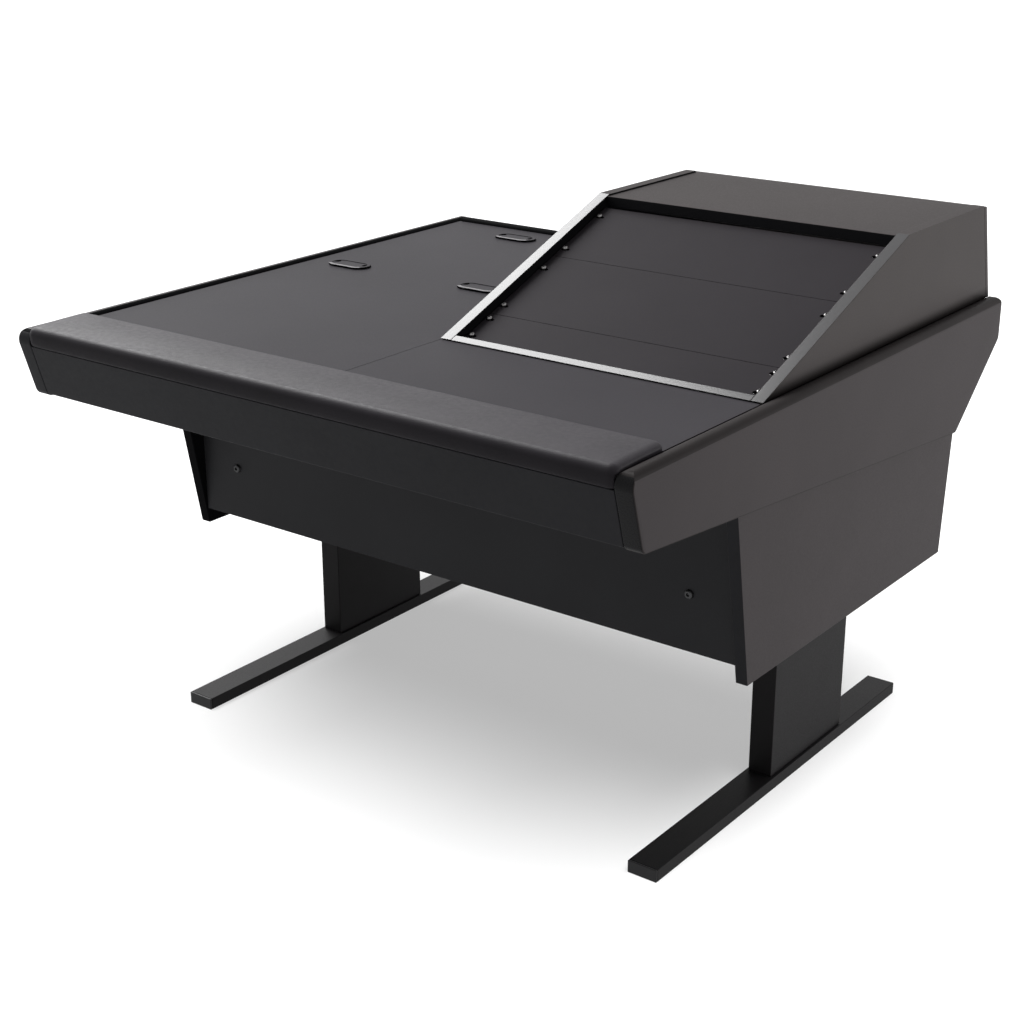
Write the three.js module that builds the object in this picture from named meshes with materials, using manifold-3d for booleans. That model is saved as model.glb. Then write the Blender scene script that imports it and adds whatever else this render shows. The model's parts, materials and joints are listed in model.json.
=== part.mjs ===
import * as THREE from 'three';
import * as BufferGeometryUtils from 'three/addons/utils/BufferGeometryUtils.js';
import Module from 'manifold-3d';

// A studio desk on two T legs: a worktop between two end wings, a padded armrest along the front,
// and a sloping rack turret on the right half. Millimetres, +Z up, +X to the user's right, +Y to the back.
// The origin is on the floor, under the middle of the desk's width and depth.

// Overall
const deskWidth = 1067;
const deskDepth = 1030;
const worktopHeight = 657;
const worktopThickness = 19;
const pieceGap = 0.3;

// End wings
const wingThickness = 26;
const wingRise = 4;
const wingTopRound = 12;
const wingEdgeRound = 2;
const wingNoseRound = 18;
const wingCornerRound = 12;
const wingFrontHeight = 104;
const wingFrontSetBack = 22.4;
const wingFrontRakeShare = 0.29;
const wingTailLength = 135;
const wingRearHeight = 185;
const wingKneeHeight = 66;

// Lower side panels and the modesty panel between them
const lowerPanelThickness = 18;
const lowerPanelSetIn = 18;
const lowerPanelClearance = 271;
const lowerPanelFront = 314;
const lowerPanelTail = 16;
const lowerPanelFrontRake = 0.179;
const lowerPanelRearRake = 0.084;
const modestyClearance = 297;
const modestySetBack = 312;
const modestyThickness = 18;
const modestyBoltHeight = 381;
const modestyBoltSetIn = 93;

// Armrest
const armrestDepth = 105;
const armrestOverhang = 4;
const armrestNose = 14;
const armrestRise = 12;
const armrestCrown = 2;
const armrestFrontFall = 2;
const armrestNoseRound = 12;
const armrestRearRound = 6;
const armrestEndRound = 8;
const fasciaThickness = 20;
const fasciaSetUp = 4;

// Worktop, its grommets and rear edge
const grommetLength = 80;
const grommetWidth = 40;
const grommetFlangeRise = 3;
const grommetFlangeLap = 4;
const grommetWall = 2;
const grommetLedge = 2.5;
const grommetLidThickness = 3;
const grommetNotchWidth = 12;
const grommetNotchDepth = 9;
const grommetNotchBack = 4.5;
const grommetLidSink = 0.8;
const grommetRowFromRear = 393;
const grommetRearFromRear = 61;
const grommetLeftFromWing = 79;
const grommetRearFromWing = 174;
const grommetMiddleFromTurret = 141.5;
const rearEdgeThickness = 22;
const rearEdgeSetIn = 12;
const rearEdgeRise = 6.5;
const worktopRearSetIn = 6;

// Turret, with blank panels of the standard rack width on a slope
const rackPanelWidth = 482.6;
const rackScrewSpacing = 465.1;
const rackPanelThickness = 3;
const rackPanelGap = 0.8;
const rackSideGap = 1.8;
const turretSideThickness = 18.5;
const turretWingRoom = 0.24296;
const turretHeight = 148.5;
const turretFront = 324;
const turretShadowGap = 1.5;
const turretShadowDepth = 8;
const turretSlopeDegrees = 20.4;
const turretBackRake = 38;
const turretTopThickness = 16;
const turretTopSink = 2.5;
const turretBackThickness = 10;
const turretBackCableGap = 40;
const trimWidth = 17;
const trimThickness = 3;
const trimLip = 6.5;
const rackRecess = 13;
const rackRailWidth = 17;
const rackRailLeg = 22;
const rackRailThickness = 2.5;
const rackFootOffset = 9;
const lowerPanelRise = 88.1;
const middlePanelRise = 163.5;
const upperPanelRise = 146;
const lowerScrewPlaces = [0.333, 0.834];
const middleScrewPlaces = [0.134, 0.773];
const upperScrewPlaces = [0.144, 0.808];

// Screws and bolts
const rackScrewHead = 8.4;
const rackScrewHeadHeight = 3;
const rackScrewShank = 5.6;
const rackScrewLength = 14;
const rackScrewHole = 6.4;
const rackScrewOutward = 2.3;
const rackSlotLength = 14;
const crossRecessWidth = 1.3;
const crossRecessLength = 5.6;
const crossRecessDepth = 1.5;
const boltHead = 14;
const boltHeadHeight = 4;
const boltShank = 8;
const boltLength = 38;
const boltHole = 9;
const boltSocket = 6;
const boltSocketDepth = 2.5;

// Subframe under the worktop
const railHeight = 45;
const railThickness = 20;
const sideRailWidth = 13;
const cleatDrop = 36;
const cleatRise = 26;
const rearStretcherHeight = 130;
const rearStretcherSetIn = 30;

// Legs
const legSetIn = 105.5;
const footLength = 719;
const footWidth = 47;
const footHeight = 19;
const footFront = 204;
const footWall = 2;
const footCapThickness = 3;
const footCapPlug = 12;
const columnWidth = 38;
const columnDepth = 218;
const columnFront = 522;
const columnWall = 2.5;
const legHeadThickness = 12;
const legHeadLength = 600;
const legHeadClearance = 1;
const bracketWidth = 28;

// Counts and shares
const cornerSteps = 5;
const edgeSteps = 2;
const roundSteps = 20;
const socketSides = 6;
const padEndSteps = 4;
const cutOverrun = 10;

// Places worked out from the sizes above
const halfWidth = deskWidth / 2;
const padFront = -deskDepth / 2;
const front = padFront + armrestOverhang;
const wingInner = halfWidth - wingThickness;
const wingTop = worktopHeight + wingRise;
const wingSole = wingTop - wingFrontHeight;
const worktopUnder = worktopHeight - worktopThickness;
const bayRight = wingInner - pieceGap;
// The turret's right side stands over the wing's rounded shoulder, clear of it by turretWingRoom
const shoulderDrop = wingTopRound - wingRise + pieceGap;
const turretOverWing = wingTopRound - Math.sqrt((wingTopRound + turretWingRoom) ** 2 - shoulderDrop ** 2);
const turretRight = wingInner + turretOverWing;
const turretInner = rackPanelWidth + 2 * rackSideGap;
const turretWidth = turretInner + 2 * turretSideThickness;
const bayLeft = turretRight - turretWidth;
const bayCentre = turretRight - turretWidth / 2;
const slope = THREE.MathUtils.degToRad(turretSlopeDegrees);
const slopeRun = turretHeight / Math.tan(slope);
const turretFoot = worktopHeight + pieceGap;
const turretTop = turretFoot + turretHeight;
const slopeStartY = front + turretFront;

const wasm = await Module();
wasm.setup();

const desk = new THREE.Group();
desk.name = 'studio_desk';

// Finishes
const finish = (color, roughness, metalness) => new THREE.MeshStandardMaterial({ color, roughness, metalness });
const finishes = {
  laminate: () => finish(0x4a484a, 0.5, 0),
  textured: () => finish(0x2b292b, 0.62, 0),
  edge: () => finish(0x232326, 0.4, 0),
  satinEdge: () => finish(0x8d8a8d, 0.32, 0),
  vinyl: () => finish(0x26262a, 0.45, 0),
  timber: () => finish(0x3b3836, 0.8, 0),
  blackSteel: () => finish(0x1f1f21, 0.5, 0.6),
  rackSteel: () => finish(0x1b1b1d, 0.4, 0.7),
  panel: () => finish(0x2a2829, 0.42, 0.3),
  screw: () => finish(0xb8b6b4, 0.25, 1),
  plastic: () => finish(0x18181a, 0.35, 0),
};

function add(name, geometry, material) {
  const mesh = new THREE.Mesh(geometry, finishes[material]());
  mesh.name = name;
  desk.add(mesh);
  return mesh;
}

// Solids for joining and cutting
function toSolid(geometry) {
  const plain = geometry.clone();
  for (const key of Object.keys(plain.attributes)) {
    if (key !== 'position') plain.deleteAttribute(key);
  }
  const merged = BufferGeometryUtils.mergeVertices(plain, 1e-4);
  return new wasm.Manifold(new wasm.Mesh({
    numProp: 3,
    vertProperties: new Float32Array(merged.attributes.position.array),
    triVerts: new Uint32Array(merged.index.array),
  }));
}

function toGeometry(solid) {
  const mesh = solid.getMesh();
  const geometry = new THREE.BufferGeometry();
  geometry.setAttribute('position', new THREE.BufferAttribute(new Float32Array(mesh.vertProperties), 3));
  geometry.setIndex(new THREE.BufferAttribute(new Uint32Array(mesh.triVerts), 1));
  return geometry;
}

function cut(geometry, ...tools) {
  let solid = toSolid(geometry);
  for (const tool of tools) solid = solid.subtract(toSolid(tool));
  return toGeometry(solid);
}

function join(geometry, ...others) {
  let solid = toSolid(geometry);
  for (const other of others) solid = solid.add(toSolid(other));
  return toGeometry(solid);
}

// A plain board between two corners
function board(x0, x1, y0, y1, z0, z1) {
  const geometry = new THREE.BoxGeometry(x1 - x0, y1 - y0, z1 - z0);
  return geometry.translate((x0 + x1) / 2, (y0 + y1) / 2, (z0 + z1) / 2);
}

// Turns a shape drawn in Y and Z into a solid across X
const acrossX = new THREE.Matrix4().makeBasis(
  new THREE.Vector3(0, 1, 0), new THREE.Vector3(0, 0, 1), new THREE.Vector3(1, 0, 0));

function prismAcross(points, x0, x1) {
  const shape = new THREE.Shape(points.map(([y, z]) => new THREE.Vector2(y, z)));
  const geometry = new THREE.ExtrudeGeometry(shape, { depth: x1 - x0, bevelEnabled: false });
  return geometry.applyMatrix4(acrossX).translate(x0, 0, 0);
}

// The same, with each corner of the outline and both long edges rounded over
function roundedPrismAcross(points, cornerRounds, x0, x1, edgeRound) {
  const geometry = new THREE.ExtrudeGeometry(roundedShape(points, cornerRounds), {
    depth: x1 - x0 - 2 * edgeRound,
    bevelEnabled: true,
    bevelThickness: edgeRound,
    bevelSize: edgeRound,
    bevelOffset: -edgeRound,
    bevelSegments: edgeSteps,
    curveSegments: cornerSteps,
  });
  return geometry.applyMatrix4(acrossX).translate(x0 + edgeRound, 0, 0);
}

function roundedShape(points, radii) {
  const shape = new THREE.Shape();
  const corners = points.map(([a, b]) => new THREE.Vector2(a, b));
  corners.forEach((corner, i) => {
    const radius = radii[i];
    const before = corners[(i + corners.length - 1) % corners.length];
    const after = corners[(i + 1) % corners.length];
    const toBefore = before.clone().sub(corner).normalize();
    const toAfter = after.clone().sub(corner).normalize();
    const halfAngle = Math.acos(toBefore.dot(toAfter)) / 2;
    const reach = radius / Math.tan(halfAngle);
    const start = corner.clone().addScaledVector(toBefore, reach);
    const end = corner.clone().addScaledVector(toAfter, reach);
    const bisector = toBefore.clone().add(toAfter).normalize();
    const centre = corner.clone().addScaledVector(bisector, radius / Math.sin(halfAngle));
    const startAngle = Math.atan2(start.y - centre.y, start.x - centre.x);
    const endAngle = Math.atan2(end.y - centre.y, end.x - centre.x);
    shape.absarc(centre.x, centre.y, radius, startAngle, endAngle, false);
  });
  shape.closePath();
  return shape;
}

// An oblong, with round ends, standing on z0
function oblong(length, width, height, x, y, z0) {
  const r = width / 2;
  const straight = length / 2 - r;
  const shape = new THREE.Shape();
  shape.absarc(straight, 0, r, -Math.PI / 2, Math.PI / 2, false);
  shape.absarc(-straight, 0, r, Math.PI / 2, Math.PI * 3 / 2, false);
  shape.closePath();
  const geometry = new THREE.ExtrudeGeometry(shape, { depth: height, bevelEnabled: false, curveSegments: cornerSteps * 2 });
  return geometry.translate(x, y, z0);
}

// A rectangular tube standing along Z from z0, drawn in X and Y
function boxTube(width, depth, wall, length, x, y, z0) {
  const rectangle = (Path, w, d) => {
    const path = new Path();
    path.moveTo(-w / 2, -d / 2);
    path.lineTo(w / 2, -d / 2);
    path.lineTo(w / 2, d / 2);
    path.lineTo(-w / 2, d / 2);
    path.closePath();
    return path;
  };
  const shape = rectangle(THREE.Shape, width, depth);
  shape.holes.push(rectangle(THREE.Path, width - 2 * wall, depth - 2 * wall));
  return new THREE.ExtrudeGeometry(shape, { depth: length, bevelEnabled: false }).translate(x, y, z0);
}

function rod(diameter, length, sides = roundSteps) {
  return new THREE.CylinderGeometry(diameter / 2, diameter / 2, length, sides);
}

// Wings: the end panels, drawn as seen from the side
const wingRear = deskDepth / 2;
const wingSoleFront = front + wingFrontSetBack;
const wingSoleRear = wingRear - wingTailLength;
const wingSlope = (wingRearHeight - wingFrontHeight) / (wingSoleRear - wingSoleFront);
const wingSoleAt = (y) => wingSole - (y - wingSoleFront) * wingSlope;
const wingFaceAt = (z) => wingSoleFront - (z - wingSole) * wingFrontRakeShare;

// The wing's top is rounded right over from side to side; its other edges are only eased
function wingHood(x0) {
  const radius = wingTopRound;
  const x1 = x0 + wingThickness;
  const shape = new THREE.Shape();
  shape.moveTo(x0 - cutOverrun, -wingTop);
  shape.lineTo(x1 + cutOverrun, -wingTop);
  shape.lineTo(x1 + cutOverrun, wingTop - radius);
  shape.lineTo(x1, wingTop - radius);
  shape.absarc(x1 - radius, wingTop - radius, radius, 0, Math.PI / 2, false);
  shape.absarc(x0 + radius, wingTop - radius, radius, Math.PI / 2, Math.PI, false);
  shape.lineTo(x0 - cutOverrun, wingTop - radius);
  shape.closePath();
  const hood = new THREE.ExtrudeGeometry(shape, { depth: 2 * deskDepth, bevelEnabled: false, curveSegments: cornerSteps });
  return hood.rotateX(Math.PI / 2).translate(0, deskDepth, 0);
}

function makeWings() {
  const outline = [
    [wingFaceAt(wingSole), wingSole], [wingSoleRear, wingTop - wingRearHeight], [wingRear, wingTop - wingKneeHeight],
    [wingRear, wingTop], [wingFaceAt(wingTop), wingTop],
  ];
  const rounds = [wingCornerRound, wingCornerRound, wingCornerRound, wingCornerRound, wingNoseRound];
  for (const [side, x0] of [['left', -halfWidth], ['right', wingInner]]) {
    const body = roundedPrismAcross(outline, rounds, x0, x0 + wingThickness, wingEdgeRound);
    add(`wing_${side}`, toGeometry(toSolid(body).intersect(toSolid(wingHood(x0)))), 'textured');
  }
}

// Lower side panels: their tops follow the wings' soles
const lowerOuter = halfWidth - lowerPanelSetIn;
const lowerInner = lowerOuter - lowerPanelThickness;
const lowerFrontY = front + lowerPanelFront;
const lowerRearY = wingSoleRear + lowerPanelTail;

function lowerPanelOutline() {
  const rise = (wingSoleAt(lowerFrontY) - pieceGap - lowerPanelClearance) / (1 - lowerPanelFrontRake * wingSlope);
  const frontTop = [lowerFrontY - rise * lowerPanelFrontRake, lowerPanelClearance + rise];
  const kneeRise = wingRearHeight - wingKneeHeight;
  const kneeSlope = kneeRise / (wingRear - wingSoleRear);
  const soleRearZ = wingTop - wingRearHeight - pieceGap;
  const rearStart = soleRearZ - lowerPanelClearance + (lowerRearY - wingSoleRear - pieceGap) * kneeSlope;
  const rearRise = rearStart / (1 - lowerPanelRearRake * kneeSlope);
  return [
    [lowerFrontY, lowerPanelClearance],
    [lowerRearY, lowerPanelClearance],
    [lowerRearY + rearRise * lowerPanelRearRake, lowerPanelClearance + rearRise],
    [wingSoleRear + pieceGap, soleRearZ],
    frontTop,
  ];
}

function makeLowerPanels() {
  for (const [side, x0] of [['left', -lowerOuter], ['right', lowerInner]]) {
    add(`lower_side_${side}`, prismAcross(lowerPanelOutline(), x0, x0 + lowerPanelThickness), 'textured');
  }
}

// Modesty panel, with a hole for each bolt
const modestyFrontY = front + modestySetBack;
const modestyRearY = modestyFrontY + modestyThickness;
const modestyHalf = lowerInner - pieceGap;
const modestyBoltX = lowerOuter - modestyBoltSetIn;

function makeModestyPanel() {
  const panel = board(-modestyHalf, modestyHalf, modestyFrontY, modestyRearY, modestyClearance, worktopUnder - pieceGap);
  const holes = [-1, 1].map((side) => rod(boltHole, modestyThickness + cutOverrun)
    .translate(side * modestyBoltX, (modestyFrontY + modestyRearY) / 2, modestyBoltHeight));
  add('modesty_panel', cut(panel, ...holes), 'edge');
}

function makeModestyBolts() {
  for (const [name, side] of [['left', -1], ['right', 1]]) {
    const profile = [
      [0, boltLength], [boltShank / 2, boltLength], [boltShank / 2, 0], [boltHead / 2, 0],
      [boltHead / 2 - boltHeadHeight / 4, -boltHeadHeight * 3 / 4], [boltHead / 3, -boltHeadHeight], [0, -boltHeadHeight],
    ];
    const body = new THREE.LatheGeometry(profile.reverse().map(([r, h]) => new THREE.Vector2(r, h)), roundSteps);
    const socket = rod(boltSocket, boltSocketDepth * 2, socketSides).translate(0, -boltHeadHeight, 0);
    const bolt = cut(body, socket);
    bolt.translate(side * modestyBoltX, modestyFrontY - pieceGap, modestyBoltHeight);
    add(`modesty_bolt_${name}`, bolt, 'screw');
  }
}

// Armrest: a raked fascia, a board on it, and a pad that wraps over the board's front edge
const armrestRearY = padFront + armrestDepth;
const armrestHalf = wingInner - pieceGap;
const padFoot = worktopHeight - armrestRise / 2;
const boardTop = padFoot - pieceGap;
const boardFoot = worktopUnder;
const padTop = worktopHeight + armrestRise;
const fasciaTop = boardFoot - pieceGap;
const fasciaFoot = wingSole + fasciaSetUp;

function makeFascia() {
  const topY = wingFaceAt(fasciaTop);
  const footY = wingFaceAt(fasciaFoot);
  const outline = [
    [footY, fasciaFoot], [footY + fasciaThickness, fasciaFoot], [topY + fasciaThickness, fasciaTop], [topY, fasciaTop],
  ];
  add('armrest_fascia', prismAcross(outline, -armrestHalf, armrestHalf), 'vinyl');
}

function makeArmrestBoard() {
  const geometry = board(-armrestHalf, armrestHalf, padFront + armrestNose, armrestRearY, boardFoot, boardTop);
  add('armrest_board', geometry, 'timber');
}

// The pad's section, drawn in where the pad's ends round over
function padSection(drawnIn, crown) {
  const frontY = padFront + drawnIn;
  const rearY = armrestRearY - drawnIn;
  const top = padTop - drawnIn;
  const noseTop = top - armrestFrontFall;
  const noseRadius = armrestNoseRound - drawnIn / 2;
  const noseFoot = fasciaTop + pieceGap + drawnIn / 2;
  const tuckY = wingFaceAt(noseFoot) + drawnIn / 2;
  const rearRound = armrestRearRound;
  const points = [[rearY, padFoot]];
  for (let i = 0; i <= cornerSteps; i += 1) {
    const a = (i / cornerSteps) * Math.PI / 2;
    points.push([rearY - rearRound + rearRound * Math.cos(a), top - rearRound + rearRound * Math.sin(a)]);
  }
  const crownStart = rearY - rearRound;
  const crownEnd = frontY + noseRadius;
  for (let i = 1; i <= cornerSteps; i += 1) {
    const t = i / cornerSteps;
    const fall = armrestFrontFall * t * t * t;
    points.push([crownStart + (crownEnd - crownStart) * t, top + crown * Math.sin(Math.PI * t) - fall]);
  }
  for (let i = 1; i <= cornerSteps; i += 1) {
    const a = (i / cornerSteps) * Math.PI / 2;
    points.push([crownEnd - noseRadius * Math.sin(a), noseTop - noseRadius + noseRadius * Math.cos(a)]);
  }
  const tuckDepth = tuckY - frontY;
  const tuckFall = noseTop - noseRadius - noseFoot;
  for (let i = 1; i <= cornerSteps; i += 1) {
    const a = (i / cornerSteps) * Math.PI / 2;
    points.push([frontY + tuckDepth * (1 - Math.cos(a)), noseTop - noseRadius - tuckFall * Math.sin(a)]);
  }
  points.push([padFront + armrestNose - pieceGap, noseFoot]);
  points.push([padFront + armrestNose - pieceGap, padFoot]);
  return points;
}

function makePad() {
  const half = armrestHalf - pieceGap;
  const stations = [];
  for (let i = 0; i <= padEndSteps; i += 1) {
    const a = (i / padEndSteps) * Math.PI / 2;
    const inFromEnd = armrestEndRound * (1 - Math.cos(a));
    stations.push({ x: -half + inFromEnd, drawnIn: armrestEndRound * (1 - Math.sin(a)) / 2, crown: 0 });
  }
  stations.push({ x: -half + armrestDepth, drawnIn: 0, crown: armrestCrown });
  const mirrored = stations.slice().reverse().map((station) => ({ ...station, x: -station.x }));
  stations.push({ x: 0, drawnIn: 0, crown: armrestCrown }, ...mirrored);
  const rings = stations.map(({ x, drawnIn, crown }) => padSection(drawnIn, crown).map(([y, z]) => [x, y, z]));
  add('armrest_pad', loft(rings), 'vinyl');
}

// Joins rings of equal count into a closed skin; the ends are filled flat
function loft(rings) {
  const count = rings[0].length;
  const index = [];
  rings.slice(1).forEach((ring, r) => {
    for (let i = 0; i < count; i += 1) {
      const j = (i + 1) % count;
      const a = r * count + i;
      const b = r * count + j;
      index.push(a, b, a + count, b, b + count, a + count);
    }
  });
  const flat = rings[0].map(([, y, z]) => new THREE.Vector2(y, z));
  const last = (rings.length - 1) * count;
  for (const [a, b, c] of THREE.ShapeUtils.triangulateShape(flat, [])) {
    index.push(a, c, b);
    index.push(last + a, last + b, last + c);
  }
  const geometry = new THREE.BufferGeometry();
  geometry.setAttribute('position', new THREE.Float32BufferAttribute(rings.flat(2), 3));
  geometry.setIndex(index);
  return geometry;
}

// Worktop: the left panel holds the grommets, the right one is open under the turret
const worktopFrontY = armrestRearY + pieceGap;
const rearEdgeY = wingRear - rearEdgeSetIn - rearEdgeThickness;
const seamX = bayLeft;
const grommets = [
  ['left', grommetLeftFromWing - bayRight, rearEdgeY - grommetRowFromRear],
  ['middle', seamX - grommetMiddleFromTurret, rearEdgeY - grommetRowFromRear],
  ['rear', grommetRearFromWing - bayRight, rearEdgeY - grommetRearFromRear],
];
const sleeveLength = grommetLength - 2 * grommetFlangeLap;
const sleeveWidth = grommetWidth - 2 * grommetFlangeLap;
const lidLength = sleeveLength - 2 * grommetWall - 2 * pieceGap;
const lidWidth = sleeveWidth - 2 * grommetWall - 2 * pieceGap;
const flangeTop = worktopHeight + pieceGap + grommetFlangeRise;
const lidFoot = flangeTop - grommetLidThickness - grommetLidSink;

function makeWorktop() {
  const left = board(-bayRight, seamX - pieceGap / 2, worktopFrontY, rearEdgeY - pieceGap, worktopUnder, worktopHeight);
  const holes = grommets.map(([, x, y]) => oblong(
    sleeveLength + 2 * pieceGap, sleeveWidth + 2 * pieceGap, worktopThickness + 2 * cutOverrun,
    x, y, worktopUnder - cutOverrun));
  add('worktop_left', cut(left, ...holes), 'laminate');

  const rearY = wingRear - worktopRearSetIn;
  const right = board(seamX + pieceGap / 2, bayRight, worktopFrontY, rearY, worktopUnder, worktopHeight);
  const bay = board(bayLeft + turretSideThickness, turretRight - turretSideThickness,
    trimRearY - trimThickness - pieceGap, rearY - 2 * turretBackRake,
    worktopUnder - cutOverrun, worktopHeight + cutOverrun);
  add('worktop_right', cut(right, bay), 'laminate');
}

function makeRearEdge() {
  const foot = worktopUnder;
  const rearEdgeTop = worktopHeight + rearEdgeRise;
  const round = rearEdgeThickness / 2 - pieceGap;
  const outline = [[rearEdgeY, foot], [rearEdgeY + rearEdgeThickness, foot]];
  const centreY = rearEdgeY + rearEdgeThickness / 2;
  for (let i = 0; i <= 2 * cornerSteps; i += 1) {
    const a = (i / (2 * cornerSteps)) * Math.PI;
    outline.push([centreY + rearEdgeThickness / 2 * Math.cos(a), rearEdgeTop - round + round * Math.sin(a)]);
  }
  add('worktop_rear_edge', prismAcross(outline, -bayRight, seamX - pieceGap), 'edge');
}

function makeGrommets() {
  for (const [name, x, y] of grommets) {
    const flange = oblong(grommetLength, grommetWidth, grommetFlangeRise, x, y, worktopHeight + pieceGap);
    const sleeve = oblong(sleeveLength, sleeveWidth, worktopThickness + grommetFlangeRise / 2, x, y, worktopUnder);
    const seat = oblong(lidLength + 2 * pieceGap, lidWidth + 2 * pieceGap, grommetLidThickness + cutOverrun,
      x, y, lidFoot - pieceGap);
    const throat = oblong(lidLength - 2 * grommetLedge, lidWidth - 2 * grommetLedge,
      worktopThickness + 2 * cutOverrun, x, y, worktopUnder - cutOverrun);
    add(`grommet_liner_${name}`, cut(join(flange, sleeve), seat, throat), 'plastic');

    const lid = oblong(lidLength, lidWidth, grommetLidThickness, x, y, lidFoot);
    const notches = [-1, 1].map((end) => oblong(
      2 * grommetNotchDepth, grommetNotchWidth, grommetLidThickness + cutOverrun,
      x + end * lidLength / 2, y + grommetNotchBack, lidFoot - cutOverrun / 2));
    add(`grommet_lid_${name}`, cut(lid, ...notches), 'plastic');
  }
}

// Turret. A place on the slope is given by its way up the slope and its depth below it
const trimRearY = slopeStartY + trimWidth * Math.cos(slope);
const onSlope = (up, deep) => [
  slopeStartY + up * Math.cos(slope) + deep * Math.sin(slope),
  turretFoot + up * Math.sin(slope) - deep * Math.cos(slope),
];
const turretRearY = wingRear - turretBackThickness - pieceGap;

// The foot of the slope stands a little clear of the worktop, so a dark line runs under its front edge
const slopeFoot = [
  [slopeStartY + turretShadowGap / Math.tan(slope), turretFoot + turretShadowGap],
  [slopeStartY + turretShadowDepth, turretFoot + turretShadowGap],
  [slopeStartY + turretShadowDepth, turretFoot],
];
const turretRearAt = (z) => turretRearY - (z - turretFoot) * turretBackRake / turretHeight;

function makeTurretSides() {
  const outline = [
    ...slopeFoot, [turretRearY, turretFoot], [turretRearAt(turretTop), turretTop],
    [slopeStartY + slopeRun, turretTop],
  ];
  for (const [side, x0] of [['left', bayLeft], ['right', turretRight - turretSideThickness]]) {
    add(`turret_side_${side}`, prismAcross(outline, x0, x0 + turretSideThickness), 'satinEdge');
  }
}

const turretX0 = bayLeft + turretSideThickness + pieceGap;
const turretX1 = turretRight - turretSideThickness - pieceGap;
const lidTopZ = turretTop - turretTopSink;
const lidUnderZ = lidTopZ - turretTopThickness;

function makeTurretTop() {
  const frontY = slopeStartY + (lidTopZ - turretFoot) / Math.tan(slope);
  const outline = [
    [frontY, lidUnderZ], [turretRearAt(lidUnderZ), lidUnderZ], [turretRearAt(lidTopZ), lidTopZ], [frontY, lidTopZ],
  ];
  add('turret_top', prismAcross(outline, turretX0, turretX1), 'textured');
}

// The back covers the rear edges of the sides and the top, with a wide slot for cables along its foot
function makeTurretBack() {
  const backAt = (z) => turretRearAt(z) + pieceGap;
  const outline = [
    [backAt(turretFoot), turretFoot], [backAt(turretFoot) + turretBackThickness, turretFoot],
    [backAt(lidTopZ) + turretBackThickness, lidTopZ], [backAt(lidTopZ), lidTopZ],
  ];
  const slotHalf = turretInner / 4;
  const slot = board(bayCentre - slotHalf, bayCentre + slotHalf, turretRearAt(turretTop), wingRear + cutOverrun,
    turretFoot - cutOverrun, turretFoot + turretBackCableGap);
  add('turret_back', cut(prismAcross(outline, bayLeft, turretRight), slot), 'textured');
}

function makeFrontTrim() {
  const outline = [
    ...slopeFoot, [trimRearY - trimThickness, turretFoot],
    [trimRearY - trimThickness, worktopHeight - trimLip], [trimRearY, worktopHeight - trimLip], onSlope(trimWidth, 0),
  ];
  add('turret_front_trim', prismAcross(outline, turretX0, turretX1), 'satinEdge');
}

// Blank panels, their screws and the rails behind them. Places up the slope count from the rack's foot
const rackPanels = [
  { name: 'lower', height: lowerPanelRise, screws: lowerScrewPlaces },
  { name: 'middle', height: middlePanelRise, screws: middleScrewPlaces },
  { name: 'upper', height: upperPanelRise, screws: upperScrewPlaces },
];
const rackHeight = rackPanels.reduce((sum, panel) => sum + panel.height, 0);
const panelFoot = (index) => rackPanels.slice(0, index).reduce((sum, panel) => sum + panel.height, rackFootOffset);
const screwPlaces = rackPanels.flatMap((panel, index) => panel.screws.map((share) => panelFoot(index) + share * panel.height));

// Lays a piece drawn flat, X across, Y up the slope and Z out of it, on the slope at a depth
function layOnSlope(geometry, deep) {
  const [y, z] = onSlope(0, deep);
  return geometry.applyMatrix4(new THREE.Matrix4().makeRotationX(slope)).translate(bayCentre, y, z);
}

const rackScrewX = rackScrewSpacing / 2 + rackScrewOutward;

// The panels have slots on the rack's spacing; the screws sit towards the slots' outer ends
function screwSlots(places) {
  const deep = 2 * rackPanelThickness + 2 * cutOverrun;
  return places.flatMap((up) => [-1, 1].map((side) => oblong(
    rackSlotLength, rackScrewHole, deep, side * rackScrewSpacing / 2, up, -deep / 2)));
}

function screwHoles(places, thickness) {
  return places.flatMap((up) => [-1, 1].map((side) => rod(rackScrewHole, thickness + cutOverrun)
    .rotateX(Math.PI / 2).translate(side * rackScrewX, up, 0)));
}

function makePanels() {
  rackPanels.forEach((panel, index) => {
    const foot = panelFoot(index);
    const half = rackPanelWidth / 2;
    const plate = board(-half, half, foot + rackPanelGap / 2, foot + panel.height - rackPanelGap / 2,
      -rackPanelThickness, 0);
    const holes = screwSlots(panel.screws.map((share) => foot + share * panel.height));
    add(`rack_panel_${panel.name}`, layOnSlope(cut(plate, ...holes), rackRecess), 'panel');
  });
}

function makeRackRails() {
  const top = -rackPanelThickness - pieceGap;
  for (const [side, sign] of [['left', -1], ['right', 1]]) {
    const wall = sign * (turretInner / 2 - pieceGap);
    const span = (width) => [Math.min(wall, wall - sign * width), Math.max(wall, wall - sign * width)];
    const face = board(...span(rackRailWidth), rackFootOffset, rackFootOffset + rackHeight, top - rackRailThickness, top);
    const leg = board(...span(rackRailThickness), rackFootOffset, rackFootOffset + rackHeight, top - rackRailLeg, top);
    const holes = screwHoles(screwPlaces, rackRailLeg);
    add(`rack_rail_${side}`, layOnSlope(cut(join(face, leg), ...holes), rackRecess), 'rackSteel');
  }
}

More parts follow.
